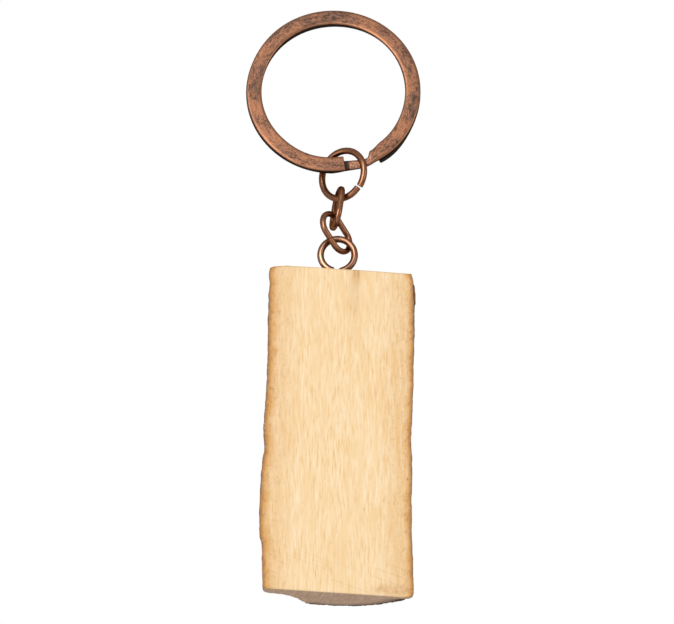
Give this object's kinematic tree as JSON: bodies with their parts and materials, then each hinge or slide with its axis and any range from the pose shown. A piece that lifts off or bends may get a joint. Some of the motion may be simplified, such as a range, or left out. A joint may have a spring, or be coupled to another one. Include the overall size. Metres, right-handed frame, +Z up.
{
  "type": "keychain",
  "caption": "Keychain: flat split ring, round jump ring and short oval-link chain carrying a screw eye in a flat-fronted wooden slab with bark on its round back.",
  "frame": {"origin": "top inside of the split ring, where the keychain hangs on a hook, on the fob's centre line to within 0.1 mm", "axes": "+Z up along the hanging keychain, -Y out of the flat wooden face, +X to the right of someone facing that face"},
  "size_m": [0.0299, 0.0087, 0.1059],
  "materials": {
    "ring_metal": "antique copper plate, satin, rubbed bright on the edges",
    "chain_metal": "antique copper plate, semi-gloss",
    "eye_metal": "antique copper plate, glossy and worn",
    "pale_wood": "sanded, unvarnished",
    "bark": "rough",
    "inner_bark": "rough"
  },
  "bodies": {
    "ring": {"split_ring": "ring_metal"},
    "jump": {"jump_ring": "chain_metal"},
    "link_one": {"upper_link": "chain_metal"},
    "link_two": {"lower_link": "chain_metal"},
    "fob": {"screw_eye": "eye_metal", "wood_fob": "pale_wood", "bark_back": "bark", "bark_edge_remnants": "inner_bark"}
  },
  "joints": [
    {"name": "ring_slide", "type": "hinge", "parent": "ring", "child": "jump", "pos_m": [-0.00065, 0, -0.01235], "axis": [0, 1, 0], "continuous": true},
    {"name": "upper_link_swing", "type": "hinge", "parent": "jump", "child": "link_one", "pos_m": [0.00026, 0.00086, -0.0319], "axis": [0.8021, -0.5387, -0.2577], "range_deg": [-30, 25]},
    {"name": "lower_link_swing", "type": "hinge", "parent": "link_one", "child": "link_two", "pos_m": [-0.00047, 0.00011, -0.03725], "axis": [0.2477, -0.9651, 0.0849], "range_deg": [-12, 80]},
    {"name": "fob_swing", "type": "hinge", "parent": "link_two", "child": "fob", "pos_m": [0.00176, 0.0008, -0.04128], "axis": [0.4541, 0.5777, 0.6782], "range_deg": [-105, 14]}
  ]
}
